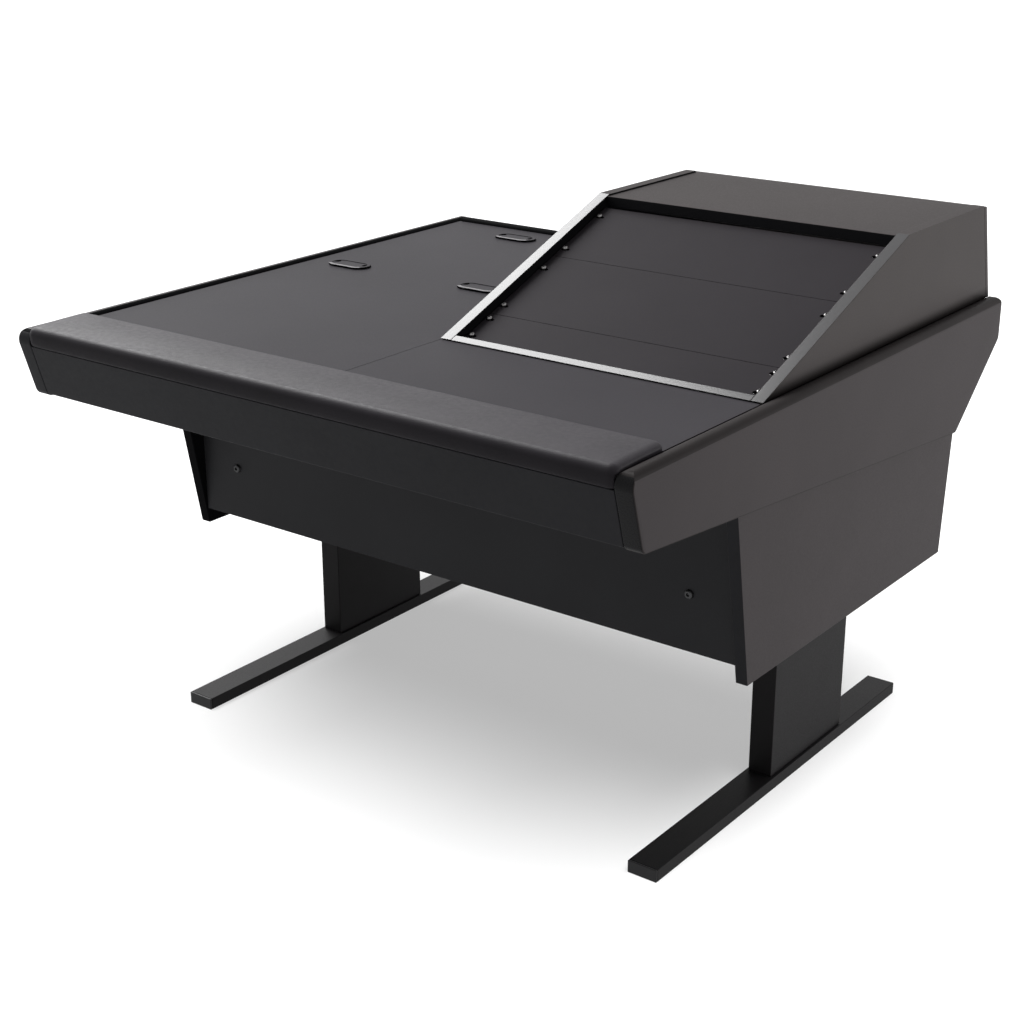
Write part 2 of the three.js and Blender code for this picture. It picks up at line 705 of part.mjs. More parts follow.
function rackScrew() {
  const r = rackScrewHead / 2;
  const profile = [
    [0, -rackScrewLength], [rackScrewShank / 2, -rackScrewLength], [rackScrewShank / 2, 0], [r, 0],
    [r, rackScrewHeadHeight / 3], [r * Math.cos(Math.PI / 4), rackScrewHeadHeight * 4 / 5], [0, rackScrewHeadHeight],
  ];
  const body = new THREE.LatheGeometry(profile.map(([a, h]) => new THREE.Vector2(a, h)), roundSteps * 3 / 5);
  body.rotateX(Math.PI / 2);
  const half = crossRecessWidth / 2;
  const reach = crossRecessLength / 2;
  const low = rackScrewHeadHeight - crossRecessDepth;
  const high = rackScrewHeadHeight + cutOverrun;
  return cut(body, board(-half, half, -reach, reach, low, high), board(-reach, reach, -half, half, low, high));
}

function makeRackScrews() {
  screwPlaces.forEach((up, row) => {
    for (const [side, sign] of [['left', -1], ['right', 1]]) {
      const screw = rackScrew().translate(sign * rackScrewX, up, pieceGap);
      add(`rack_screw_${side}_${row + 1}`, layOnSlope(screw, rackRecess), 'screw');
    }
  });
}

// Subframe: rails round and under the worktop, and cleats that tie wings to lower panels
const railTop = worktopUnder - pieceGap;
const railFoot = railTop - railHeight;
const railFrontY = modestyRearY + pieceGap;
const rearRailY = rearEdgeY - railThickness / 2;
const sideRailInner = bayRight - sideRailWidth;

function makeSubframe() {
  for (const [side, sign] of [['left', -1], ['right', 1]]) {
    const x0 = Math.min(sign * sideRailInner, sign * bayRight);
    add(`side_rail_${side}`, board(x0, x0 + sideRailWidth, railFrontY, rearRailY - pieceGap, railFoot, railTop), 'timber');
  }
  add('rear_rail', board(-bayRight, bayRight, rearRailY, rearRailY + railThickness, railFoot, railTop), 'timber');
  add('front_rail', board(-bayRight, bayRight, armrestRearY - railThickness, armrestRearY + railThickness,
    fasciaFoot + railThickness, boardFoot - pieceGap), 'timber');
}

function makeCleats() {
  const y0 = modestyRearY + pieceGap;
  const y1 = wingSoleRear - railThickness;
  const band = (low) => [
    [y0, wingSoleAt(y0) + low], [y1, wingSoleAt(y1) + low],
    [y1, wingSoleAt(y1) + cleatRise], [y0, wingSoleAt(y0) + cleatRise],
  ];
  const inner = lowerInner - pieceGap;
  for (const [side, sign] of [['left', -1], ['right', 1]]) {
    const spans = [[inner - railThickness, inner], [inner, bayRight]].map(
      ([a, b]) => [Math.min(sign * a, sign * b), Math.max(sign * a, sign * b)]);
    const body = prismAcross(band(-cleatDrop), ...spans[0]);
    const tongue = prismAcross(band(pieceGap), ...spans[1]);
    add(`panel_cleat_${side}`, join(body, tongue), 'timber');
  }
}

function makeRearStretcher() {
  const y1 = lowerRearY - rearStretcherSetIn;
  add('rear_stretcher', board(-modestyHalf, modestyHalf, y1 - modestyThickness, y1, modestyClearance,
    modestyClearance + rearStretcherHeight), 'edge');
}

// Legs: a foot bar with two end caps, a column, a head plate under the rails and a bracket to the modesty panel
const legCentre = halfWidth - legSetIn;
const legHeadY = modestyRearY + legHeadClearance;
const footY0 = front + footFront;
const columnY = front + columnFront + columnDepth / 2;
const legHeadTop = railFoot - pieceGap;
const legHeadFoot = legHeadTop - legHeadThickness;
const columnFoot = footHeight + pieceGap;
const columnTop = legHeadFoot - pieceGap;

function makeLegs() {
  for (const [side, sign] of [['left', -1], ['right', 1]]) {
    const x = sign * legCentre;
    const bar = boxTube(footWidth, footHeight, footWall, footLength - 2 * footCapThickness - 2 * pieceGap, 0, 0, 0);
    bar.rotateX(-Math.PI / 2).translate(x, footY0 + footCapThickness + pieceGap, footHeight / 2);
    add(`foot_bar_${side}`, bar, 'blackSteel');
    makeFootCaps(side, x);

    const column = boxTube(columnWidth, columnDepth, columnWall, columnTop - columnFoot, x, columnY, columnFoot);
    add(`leg_column_${side}`, column, 'blackSteel');

    const headX = [x - sign * footWidth / 2, sign * bayRight].sort((a, b) => a - b);
    const head = board(...headX, legHeadY, legHeadY + legHeadLength, legHeadFoot, legHeadTop);
    add(`leg_head_${side}`, head, 'blackSteel');

    const bracketX = sign * modestyBoltX;
    const bracket = board(bracketX - bracketWidth / 2, bracketX + bracketWidth / 2, modestyRearY + pieceGap,
      front + columnFront - pieceGap, modestyBoltHeight - bracketWidth / 2, modestyBoltHeight + bracketWidth / 2);
    const hole = rod(boltHole, boltLength * 2).translate(bracketX, modestyRearY, modestyBoltHeight);
    add(`modesty_bracket_${side}`, cut(bracket, hole), 'blackSteel');
  }
}

function makeFootCaps(side, x) {
  const plugX = footWidth / 2 - footWall - pieceGap;
  const plugZ = footHeight / 2 - footWall - pieceGap;
  for (const [end, y, sign] of [['front', footY0, 1], ['rear', footY0 + footLength, -1]]) {
    const along = (near, far) => [y + sign * near, y + sign * far].sort((a, b) => a - b);
    const plate = board(x - footWidth / 2, x + footWidth / 2, ...along(0, footCapThickness), 0, footHeight);
    const plug = board(x - plugX, x + plugX, ...along(0, footCapThickness + footCapPlug),
      footHeight / 2 - plugZ, footHeight / 2 + plugZ);
    add(`foot_cap_${side}_${end}`, join(plate, plug), 'plastic');
  }
}

makeWings();
makeLowerPanels();
makeModestyPanel();
makeModestyBolts();
makeFascia();
makeArmrestBoard();
makePad();
makeWorktop();
makeRearEdge();
makeGrommets();
makeTurretSides();
makeTurretTop();
makeTurretBack();
makeFrontTrim();
makePanels();
makeRackRails();
makeRackScrews();
makeSubframe();
makeCleats();
makeRearStretcher();
makeLegs();

export default desk;
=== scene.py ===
import json
import math

import bmesh
import bpy
from mathutils import Matrix, Vector, noise

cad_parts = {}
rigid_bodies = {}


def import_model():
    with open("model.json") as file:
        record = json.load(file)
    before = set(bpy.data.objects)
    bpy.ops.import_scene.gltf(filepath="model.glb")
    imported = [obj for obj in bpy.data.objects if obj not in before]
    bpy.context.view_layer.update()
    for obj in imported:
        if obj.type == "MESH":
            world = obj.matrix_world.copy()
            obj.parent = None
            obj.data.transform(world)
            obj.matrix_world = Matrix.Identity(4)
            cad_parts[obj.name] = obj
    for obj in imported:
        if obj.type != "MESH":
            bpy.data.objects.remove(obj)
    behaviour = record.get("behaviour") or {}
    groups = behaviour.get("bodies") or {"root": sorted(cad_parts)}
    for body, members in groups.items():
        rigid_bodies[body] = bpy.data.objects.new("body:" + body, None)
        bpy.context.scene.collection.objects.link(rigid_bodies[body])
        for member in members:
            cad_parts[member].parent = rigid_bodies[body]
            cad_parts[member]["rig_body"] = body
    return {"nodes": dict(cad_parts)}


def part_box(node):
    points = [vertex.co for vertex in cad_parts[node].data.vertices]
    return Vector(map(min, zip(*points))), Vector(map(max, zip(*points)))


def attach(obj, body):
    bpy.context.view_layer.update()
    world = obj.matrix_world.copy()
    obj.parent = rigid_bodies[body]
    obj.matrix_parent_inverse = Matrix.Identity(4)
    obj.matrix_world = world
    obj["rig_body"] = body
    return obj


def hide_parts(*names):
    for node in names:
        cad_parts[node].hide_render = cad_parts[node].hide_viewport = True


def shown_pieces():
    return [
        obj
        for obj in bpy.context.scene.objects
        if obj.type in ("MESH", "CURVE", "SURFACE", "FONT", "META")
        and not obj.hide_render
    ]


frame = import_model()
scene = bpy.context.scene
nodes = frame["nodes"]
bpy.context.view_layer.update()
print("stage: frame loaded")

# Camera at the photograph's viewing angle
cameraValues = {
    "place": (1.56571, -2.09929, 1.33253),
    "yaw": -37.14,
    "pitch": 20.72,
    "roll": 0.13,
    "lens": 63.32,
    "sensor": 36.0,
    "nearest": 0.05,
    "furthest": 60,
}


def makeCamera(values):
    yaw, pitch, roll = (math.radians(values[key]) for key in ("yaw", "pitch", "roll"))
    ahead = Vector((math.sin(yaw) * math.cos(pitch), math.cos(yaw) * math.cos(pitch), -math.sin(pitch)))
    level = Vector((math.cos(yaw), -math.sin(yaw), 0))
    down = ahead.cross(level)
    right = level * math.cos(roll) + down * math.sin(roll)
    up = level * math.sin(roll) - down * math.cos(roll)
    data = bpy.data.cameras.new("camera")
    data.lens = values["lens"]
    data.sensor_width = values["sensor"]
    data.clip_start = values["nearest"]
    data.clip_end = values["furthest"]
    camera = bpy.data.objects.new("camera", data)
    turn = Matrix((right, up, -ahead)).transposed().to_4x4()
    camera.matrix_world = Matrix.Translation(values["place"]) @ turn
    scene.collection.objects.link(camera)
    scene.camera = camera


makeCamera(cameraValues)
scene.view_settings.view_transform = "Standard"
print("stage: camera placed")

# Materials: a broad pattern tints each finish and a fine one gives it roughness and relief
patternValues = {
    "reach": (0.3, 0.7),            # the values that nearly all of a noise lies between
    "plainRamp": (0.35, 0.65),
    "laminateRamp": (0.32, 0.68),
    "boardCloud": (3.0, 0.5),       # detail and roughness of each noise
    "speck": (2.0, 0.6),
    "crease": (4.0, 0.62),
    "coatCloud": (2.0, 0.5),
    "peel": (2.0, 0.55),
    "cellSmoothness": 0.35,
}


def addNode(tree, kind, **values):
    node = tree.nodes.new(kind)
    for key, value in values.items():
        setattr(node, key, value)
    return node


def rampBetween(tree, source, low, high, span):
    ramp = addNode(tree, "ShaderNodeValToRGB")
    for element, position, colour in zip(ramp.color_ramp.elements, span, (low, high)):
        element.position = position
        element.color = (*colour, 1)
    tree.links.new(source, ramp.inputs["Fac"])
    return ramp.outputs["Color"]


def mapRange(tree, source, start, end, low, high, kind="LINEAR"):
    span = addNode(tree, "ShaderNodeMapRange", interpolation_type=kind)
    for socket, value in (("From Min", start), ("From Max", end), ("To Min", low), ("To Max", high)):
        span.inputs[socket].default_value = value
    tree.links.new(source, span.inputs["Value"])
    return span.outputs["Result"]


def multiplyAdd(tree, first, second, third):
    result = addNode(tree, "ShaderNodeMath", operation="MULTIPLY_ADD")
    for socket, value in zip(result.inputs, (first, second, third)):
        if isinstance(value, float):
            socket.default_value = value
        else:
            tree.links.new(value, socket)
    return result.outputs[0]


def noiseOn(tree, place, scale, detail, rough):
    texture = addNode(tree, "ShaderNodeTexNoise")
    texture.inputs["Scale"].default_value = scale
    texture.inputs["Detail"].default_value = detail
    texture.inputs["Roughness"].default_value = rough
    tree.links.new(place, texture.inputs["Vector"])
    return texture.outputs["Fac"]


def axesOf(tree, place):
    parts = addNode(tree, "ShaderNodeSeparateXYZ")
    tree.links.new(place, parts.inputs[0])
    return parts.outputs


def scaleColour(tree, colour, factor):
    scaled = addNode(tree, "ShaderNodeVectorMath", operation="SCALE")
    tree.links.new(colour, scaled.inputs[0])
    tree.links.new(factor, scaled.inputs["Scale"])
    return scaled.outputs["Vector"]


def startMaterial(name):
    material = bpy.data.materials.new(name)
    material.use_nodes = True
    tree = material.node_tree
    shader = tree.nodes["Principled BSDF"]
    place = addNode(tree, "ShaderNodeTexCoord").outputs["Object"]
    return material, tree, shader, place


def addBump(tree, height, strength, distance, below=None):
    bump = addNode(tree, "ShaderNodeBump")
    bump.inputs["Strength"].default_value = strength
    bump.inputs["Distance"].default_value = distance
    tree.links.new(height, bump.inputs["Height"])
    if below:
        tree.links.new(below, bump.inputs["Normal"])
    return bump.outputs["Normal"]


# Painted shade: below a height the colour and the sheen fall to a share, darkening the underside of the
# pad's rolled nose and the turret's foot
def darkenRoll(tree, shader, place, colour, values):
    low, high, share = values["roll"]
    height = axesOf(tree, place)["Z"]
    shadedShare = mapRange(tree, height, low, high, share, 1.0, "SMOOTHSTEP")
    sheen = mapRange(tree, height, low, high, values["specular"] * share, values["specular"], "SMOOTHSTEP")
    tree.links.new(sheen, shader.inputs["Specular IOR Level"])
    return scaleColour(tree, colour, shadedShare)


# Painted shade: the crest darkens in the gutter along the turret's foot
def darkenGutter(tree, place, colour, values):
    inner, outer, start, full, share = values["gutterShade"]
    axes = axesOf(tree, place)
    across = mapRange(tree, axes["X"], inner, outer, share - 1, 0.0, "SMOOTHSTEP")
    along = mapRange(tree, axes["Y"], start, full, 0.0, 1.0, "SMOOTHSTEP")
    return scaleColour(tree, colour, multiplyAdd(tree, across, along, 1.0))


# Colour from the broad pattern with any painted shade, roughness from the fine one
def tintAndSheen(tree, shader, place, values, broad, fine, ramp):
    low, high = (tuple(channel * factor for channel in values["colour"])
                 for factor in (1 - values["vary"], 1 + values["vary"]))
    colour = rampBetween(tree, broad, low, high, ramp)
    shader.inputs["Specular IOR Level"].default_value = values["specular"]
    if "roll" in values:
        colour = darkenRoll(tree, shader, place, colour, values)
    if "gutterShade" in values:
        colour = darkenGutter(tree, place, colour, values)
    tree.links.new(colour, shader.inputs["Base Color"])
    rough = mapRange(tree, fine, *patternValues["reach"], *values["rough"])
    tree.links.new(rough, shader.inputs["Roughness"])


def laminate(name, values):
    material, tree, shader, place = startMaterial(name)
    cloud = noiseOn(tree, place, values["cloudScale"], *patternValues["boardCloud"])
    speck = noiseOn(tree, place, values["speckScale"], *patternValues["speck"])
    broad = multiplyAdd(tree, speck, values["speckShare"], cloud)
    ramp = [position + values["speckShare"] / 2 for position in patternValues["laminateRamp"]]
    tintAndSheen(tree, shader, place, values, broad, speck, ramp)
    tree.links.new(addBump(tree, speck, values["bump"], values["depth"]), shader.inputs["Normal"])
    return material


def vinyl(name, values):
    material, tree, shader, place = startMaterial(name)
    cells = addNode(tree, "ShaderNodeTexVoronoi", feature="SMOOTH_F1")
    cells.inputs["Scale"].default_value = values["cellScale"]
    cells.inputs["Smoothness"].default_value = patternValues["cellSmoothness"]
    tree.links.new(place, cells.inputs["Vector"])
    cloud = noiseOn(tree, place, values["cloudScale"], *patternValues["boardCloud"])
    crease = noiseOn(tree, place, values["creaseScale"], *patternValues["crease"])
    tintAndSheen(tree, shader, place, values, cloud, crease, patternValues["plainRamp"])
    creased = addBump(tree, crease, values["bump"] / 2, values["depth"])
    grained = addBump(tree, cells.outputs["Distance"], values["bump"], values["depth"], creased)
    tree.links.new(grained, shader.inputs["Normal"])
    return material


def coated(name, values):
    material, tree, shader, place = startMaterial(name)
    cloud = noiseOn(tree, place, values["cloudScale"], *patternValues["coatCloud"])
    peel = noiseOn(tree, place, values["peelScale"], *patternValues["peel"])
    tintAndSheen(tree, shader, place, values, cloud, peel, patternValues["plainRamp"])
    shader.inputs["Metallic"].default_value = values.get("metallic", 0.0)
    tree.links.new(addBump(tree, peel, values["bump"], values["depth"]), shader.inputs["Normal"])
    return material


# A roll, a painted shade below a height, is the height where it starts, the height where it ends, and the
# share left below.
# A gutter shade, painted along the turret's foot, is its inner and outer x, the y where it starts and is
# full, and the share left in it.
materials = {
    "worktop": laminate("worktopLaminate", {
        "colour": (0.066, 0.062, 0.070), "vary": 0.05,
        "cloudScale": 5.0, "speckScale": 620.0, "speckShare": 0.35,
        "rough": (0.38, 0.48), "specular": 0.03, "bump": 0.12, "depth": 0.00012}),
    "wing": laminate("wingLaminate", {
        "colour": (0.053, 0.045, 0.047), "vary": 0.07,
        "cloudScale": 6.0, "speckScale": 480.0, "speckShare": 0.6,
        "rough": (0.44, 0.58), "specular": 0.14, "bump": 0.3, "depth": 0.0002}),
    "turret": laminate("turretLaminate", {
        "colour": (0.060, 0.051, 0.050), "vary": 0.06,
        "cloudScale": 6.0, "speckScale": 480.0, "speckShare": 0.5,
        "rough": (0.42, 0.54), "specular": 0.16, "bump": 0.25, "depth": 0.0002,
        # painted shade darkening the turret's laminate towards its foot
        "roll": (0.6590, 0.6790, 0.16)}),
    # a darker, less glossy copy of the turret's laminate, as painted shade on faces that look up
    "turretTop": laminate("turretLaminateShadedTop", {
        "colour": (0.056, 0.048, 0.048), "vary": 0.06,
        "cloudScale": 6.0, "speckScale": 480.0, "speckShare": 0.5,
        "rough": (0.40, 0.50), "specular": 0.04, "bump": 0.25, "depth": 0.0002}),
    "modesty": laminate("modestyLaminate", {
        "colour": (0.036, 0.036, 0.039), "vary": 0.08,
        "cloudScale": 6.0, "speckScale": 480.0, "speckShare": 0.5,
        "rough": (0.46, 0.58), "specular": 0.12, "bump": 0.25, "depth": 0.0002}),
    # the top board's front and underside: a dark edge band, darker still as painted shade
    "edgeBandAndShade": coated("edgeBandAndShade", {
        "colour": (0.012, 0.012, 0.014), "vary": 0.1, "cloudScale": 12.0, "peelScale": 700.0,
        "rough": (0.4, 0.5), "specular": 0.08, "bump": 0.1, "depth": 0.0001}),
    # a black moulding, also used as painted shade on the left wing's crest, the left lower side and the
    # grommets' edges and throats
    "mouldingAndShade": coated("blackMouldingAndShade", {
        "colour": (0.009, 0.009, 0.010), "vary": 0.1, "cloudScale": 12.0, "peelScale": 700.0,
        "rough": (0.5, 0.6), "specular": 0.01, "bump": 0.1, "depth": 0.0001}),
    # the right crest: a lighter copy of the black moulding, as painted light, with painted gutter shade
    "crest": coated("crestMouldingWithGutterShade", {
        "colour": (0.037, 0.032, 0.032), "vary": 0.08, "cloudScale": 12.0, "peelScale": 700.0,
        "rough": (0.40, 0.50), "specular": 0.05, "bump": 0.12, "depth": 0.0001,
        # painted shade in the gutter along the turret's foot
        "gutterShade": (0.5125, 0.5205, -0.190, -0.178, 0.08)}),
    "nose": coated("noseMoulding", {
        "colour": (0.008, 0.008, 0.009), "vary": 0.08, "cloudScale": 12.0, "peelScale": 700.0,
        "rough": (0.24, 0.32), "specular": 0.10, "bump": 0.08, "depth": 0.00008}),
    # the turret sides' faces towards the rack bay, black as painted shade
    "bayShade": coated("bayPaintedShade", {
        "colour": (0.008, 0.008, 0.009), "vary": 0.1, "cloudScale": 12.0, "peelScale": 560.0,
        "rough": (0.5, 0.6), "specular": 0.03, "bump": 0.1, "depth": 0.0001}),
    "pad": vinyl("padVinyl", {
        "colour": (0.056, 0.051, 0.059), "vary": 0.12,
        "cloudScale": 9.0, "cellScale": 720.0, "creaseScale": 130.0,
        "rough": (0.40, 0.52), "specular": 0.12, "bump": 0.4, "depth": 0.00028,
        # painted shade darkening the pad under its rolled nose
        "roll": (0.654, 0.667, 0.50)}),
    "fascia": vinyl("fasciaVinyl", {
        "colour": (0.023, 0.023, 0.026), "vary": 0.08,
        "cloudScale": 7.0, "cellScale": 720.0, "creaseScale": 130.0,
        "rough": (0.44, 0.54), "specular": 0.09, "bump": 0.3, "depth": 0.0002}),
    "slopeEdge": coated("slopeEdge", {
        "colour": (0.046, 0.044, 0.048), "vary": 0.06, "cloudScale": 8.0, "peelScale": 1500.0,
        "rough": (0.20, 0.25), "specular": 0.50, "bump": 0.08, "depth": 0.00004}),
    "panel": coated("panelCoat", {
        "colour": (0.044, 0.039, 0.045), "vary": 0.05, "cloudScale": 7.0, "peelScale": 640.0,
        "rough": (0.50, 0.60), "specular": 0.04, "bump": 0.15, "depth": 0.00012}),
    "steel": coated("blackSteel", {
        "colour": (0.016, 0.015, 0.016), "vary": 0.08, "cloudScale": 9.0, "peelScale": 560.0,
        "rough": (0.42, 0.54), "specular": 0.10, "bump": 0.2, "depth": 0.00015}),
    "plastic": coated("blackPlastic", {
        "colour": (0.018, 0.018, 0.020), "vary": 0.1, "cloudScale": 14.0, "peelScale": 900.0,
        "rough": (0.38, 0.5), "specular": 0.3, "bump": 0.15, "depth": 0.0001}),
    # a painted highlight on the front of the grommets' rims
    "rimHighlight": coated("grommetRimHighlight", {
        "colour": (0.32, 0.31, 0.325), "vary": 0.06, "cloudScale": 14.0, "peelScale": 900.0,
        "rough": (0.30, 0.42), "specular": 0.4, "bump": 0.12, "depth": 0.0001}),
    "timber": laminate("boardTimber", {
        "colour": (0.050, 0.046, 0.044), "vary": 0.2,
        "cloudScale": 20.0, "speckScale": 300.0, "speckShare": 0.8,
        "rough": (0.6, 0.8), "specular": 0.15, "bump": 0.4, "depth": 0.0003}),
    "plated": coated("platedSteel", {
        "colour": (0.20, 0.195, 0.195), "vary": 0.05, "cloudScale": 90.0, "peelScale": 1400.0,
        "rough": (0.26, 0.38), "specular": 0.5, "bump": 0.1, "depth": 0.00005, "metallic": 1.0}),
    "blackBolt": coated("blackBolt", {
        "colour": (0.05, 0.05, 0.052), "vary": 0.1, "cloudScale": 60.0, "peelScale": 1200.0,
        "rough": (0.3, 0.42), "specular": 0.5, "bump": 0.1, "depth": 0.00006, "metallic": 0.8}),
}
print("stage: materials made")


# Boards, steel and grommets are copies of their own solids with the edges eased
easeValues = {
    "ease": 0.0008,
    "steps": 3,
    "edgeAngle": 28,      # edges sharper than this many degrees are eased
    "weld": 0.00002,
    "flat": 0.4,          # faces within this many degrees are one
    "normalWeight": 80,
    "body": "desk",
}


def addObject(name, mesh):
    piece = bpy.data.objects.new(name, mesh)
    scene.collection.objects.link(piece)
    return piece


def settle(piece, body, slotName, *replaced):
    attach(piece, body)
    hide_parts(*replaced)


def bridgeLoops(shell, loops):
    for near, far in zip(loops, loops[1:]):
        for i in range(len(near)):
            j = (i + 1) % len(near)
            shell.faces.new((near[i], near[j], far[j], far[i]))


def mergedShell(node, values):
    shell = bmesh.new()
    shell.from_mesh(nodes[node].data)
    bmesh.ops.remove_doubles(shell, verts=shell.verts, dist=values["weld"])
    bmesh.ops.dissolve_limit(shell, angle_limit=math.radians(values["flat"]),
                             verts=shell.verts, edges=shell.edges)
    return shell


# The choice, where there is one, gives each face the number of its finish
def easedCopy(node, name, ownValues, choice=None):
    values = {**easeValues, **ownValues}
    shell = mergedShell(node, values)
    limit = math.radians(values["edgeAngle"])
    sharp = [edge for edge in shell.edges if len(edge.link_faces) == 2 and edge.calc_face_angle(0) > limit]
    bmesh.ops.bevel(shell, geom=sharp, offset=values["ease"], offset_type="OFFSET", segments=values["steps"],
                    profile=0.5, affect="EDGES", clamp_overlap=True)
    bmesh.ops.triangulate(shell, faces=[face for face in shell.faces if len(face.verts) > 4])
    mesh = bpy.data.meshes.new(name)
    for finish in values["finish"]:
        mesh.materials.append(materials[finish])
    for face in shell.faces:
        face.smooth = True
        face.material_index = choice(face) if choice else 0
    shell.to_mesh(mesh)
    shell.free()
    piece = addObject(name, mesh)
    weighted = piece.modifiers.new("weighted", "WEIGHTED_NORMAL")
    weighted.keep_sharp = True
    weighted.weight = values["normalWeight"]
    settle(piece, values["body"], values["slot"], node)


# Wings: laminate on both faces, a moulding along the edges and a nose at the front. The one edge moulding
# takes different tones as
# painted light and shade: on the left it is black as painted shade on the crest's side towards the worktop,
# laminate on its side towards the key lamp, and the fascia's tone on the nose; on the right the crest is a
# lighter copy with painted gutter shade and the nose is black. Each list of finishes is in the order of the
# numbers that the piece's choice gives.
wingValues = {
    "left": {"slot": "wing", "finish": ["wing", "mouldingAndShade", "fascia"], "ease": 0.0007, "steps": 2,
             "edgeAngle": 33},
    "right": {"slot": "wing", "finish": ["wing", "crest", "nose"], "ease": 0.0007, "steps": 2,
              "edgeAngle": 33},
    "flat": 0.97,          # how squarely a face points sideways to be laminate
    "nose": -0.7,          # how far a face points forwards to be the nose
    "crestShadeAcross": 0.1,    # the left crest is black as painted shade only towards the worktop
    "crestFront": -0.3,
}


def rightWingFace(face):
    if abs(face.normal.x) > wingValues["flat"]:
        return 0
    return 2 if face.normal.y < wingValues["nose"] else 1


def leftWingFace(face):
    litSide = face.normal.x < wingValues["crestShadeAcross"] and face.normal.y > wingValues["crestFront"]
    return 0 if litSide else rightWingFace(face)


easedCopy("wing_left", "leftWing", wingValues["left"], leftWingFace)
easedCopy("wing_right", "rightWing", wingValues["right"], rightWingFace)

# Lower sides: laminate outside, and a dark edge and inner face, black on the left and the fascia's lighter
# tone on the right, as painted shade and painted light
lowerSideValues = {
    "left": {"slot": "lower_side", "finish": ["wing", "mouldingAndShade"], "ease": 0.0012},
    "right": {"slot": "lower_side", "finish": ["wing", "fascia"], "ease": 0.0012},
    "flat": 0.9,
}


def outerFace(outward):
    return lambda face: 0 if face.normal.x * outward > lowerSideValues["flat"] else 1


easedCopy("lower_side_left", "leftLowerSide", lowerSideValues["left"], outerFace(-1))
easedCopy("lower_side_right", "rightLowerSide", lowerSideValues["right"], outerFace(1))

# Boards of one finish each
modestyValues = {"slot": "modesty", "finish": ["modesty"]}
worktopValues = {"slot": "laminate", "finish": ["worktop"], "ease": 0.0005, "steps": 2, "edgeAngle": 50}
rearEdgeValues = {"slot": "rear_edge", "finish": ["mouldingAndShade"], "steps": 2, "edgeAngle": 40}
fasciaValues = {"slot": "fascia", "finish": ["fascia"], "ease": 0.0012}
easedCopy("modesty_panel", "modestyPanel", modestyValues)
easedCopy("rear_stretcher", "rearStretcher", modestyValues)
easedCopy("worktop_left", "leftWorktop", worktopValues)
easedCopy("worktop_right", "rightWorktop", worktopValues)
easedCopy("worktop_rear_edge", "worktopRearEdge", rearEdgeValues)
easedCopy("armrest_fascia", "armrestFascia", fasciaValues)

# Turret: each side has a satin slope edge, a black face towards the rack bay as painted shade, and a top
# like the top board's. The top board takes a darker, less glossy copy of the turret's laminate as painted
# shade on faces that look up, and its front and underside a dark edge band deepened by painted shade
turretValues = {
    "slope": math.radians(20.4),
    "sides": {"slot": "turret_side", "finish": ["turret", "slopeEdge", "bayShade", "turretTop"], "edgeAngle": 15},
    "top": {"slot": "turret_shell", "finish": ["turretTop", "edgeBandAndShade"]},
    "back": {"slot": "turret_shell", "finish": ["turret"], "ease": 0.0010},
    "trim": {"slot": "slope_trim", "finish": ["slopeEdge"], "ease": 0.0006},
    "panels": {"slot": "blank_panel", "finish": ["panel"], "ease": 0.0005, "steps": 2, "edgeAngle": 40},
    "edgeFlat": 0.985,     # how squarely a face points along the slope's normal, or up
    "bayFlat": 0.9,
    "topFlat": 0.5,
}
slopeNormal = Vector((0, -math.sin(turretValues["slope"]), math.cos(turretValues["slope"])))


def turretSideFace(inward):
    def choose(face):
        if face.normal.dot(slopeNormal) > turretValues["edgeFlat"]:
            return 1
        if face.normal.x * inward > turretValues["bayFlat"]:
            return 2
        return 3 if face.normal.z > turretValues["edgeFlat"] else 0
    return choose


def turretTopFace(face):
    return 0 if face.normal.z > turretValues["topFlat"] else 1


easedCopy("turret_side_left", "leftTurretSide", turretValues["sides"], turretSideFace(1))
easedCopy("turret_side_right", "rightTurretSide", turretValues["sides"], turretSideFace(-1))
easedCopy("turret_top", "turretTop", turretValues["top"], turretTopFace)
easedCopy("turret_back", "turretBack", turretValues["back"])
easedCopy("turret_front_trim", "turretFrontTrim", turretValues["trim"])
for place in ("lower", "middle", "upper"):
    easedCopy("rack_panel_" + place, place + "RackPanel", turretValues["panels"])

# Legs
legValues = {
    "bar": {"slot": "black_steel", "finish": ["steel"], "ease": 0.0010},
    "column": {"slot": "black_steel", "finish": ["steel"], "ease": 0.0012},
    "head": {"slot": "black_steel", "finish": ["steel"], "ease": 0.0010},
    "cap": {"slot": "black_plastic", "finish": ["plastic"], "ease": 0.0012},
}
for side in ("left", "right"):
    easedCopy("foot_bar_" + side, side + "FootBar", legValues["bar"])
for side in ("left", "right"):
    easedCopy("leg_column_" + side, side + "LegColumn", legValues["column"])
    easedCopy("leg_head_" + side, side + "LegHead", legValues["head"])
    for end in ("front", "rear"):
        easedCopy("foot_cap_" + side + "_" + end, side + end.title() + "FootCap", legValues["cap"])

# Grommets: a rim has a painted highlight along its front, is black round its edge and down its throat as
# painted shade, and is like the worktop elsewhere
grommetValues = {
    "liner": {"slot": "grommet_plastic", "finish": ["rimHighlight", "mouldingAndShade", "worktop"], "ease": 0.0006,
              "edgeAngle": 40},
    "lid": {"slot": "grommet_plastic", "finish": ["worktop"], "ease": 0.0004, "steps": 2, "edgeAngle": 40},
    "flat": 0.9,
    "rimFoot": 0.6595,     # the rim's top lies above this height
    "highlightStart": 0.012,    # from the rim's middle to its painted highlight
}


def rimFace(centreY):
    def choose(face):
        middle = face.calc_center_median()
        if face.normal.z < grommetValues["flat"] or middle.z < grommetValues["rimFoot"]:
            return 1
        return 0 if middle.y < centreY - grommetValues["highlightStart"] else 2
    return choose


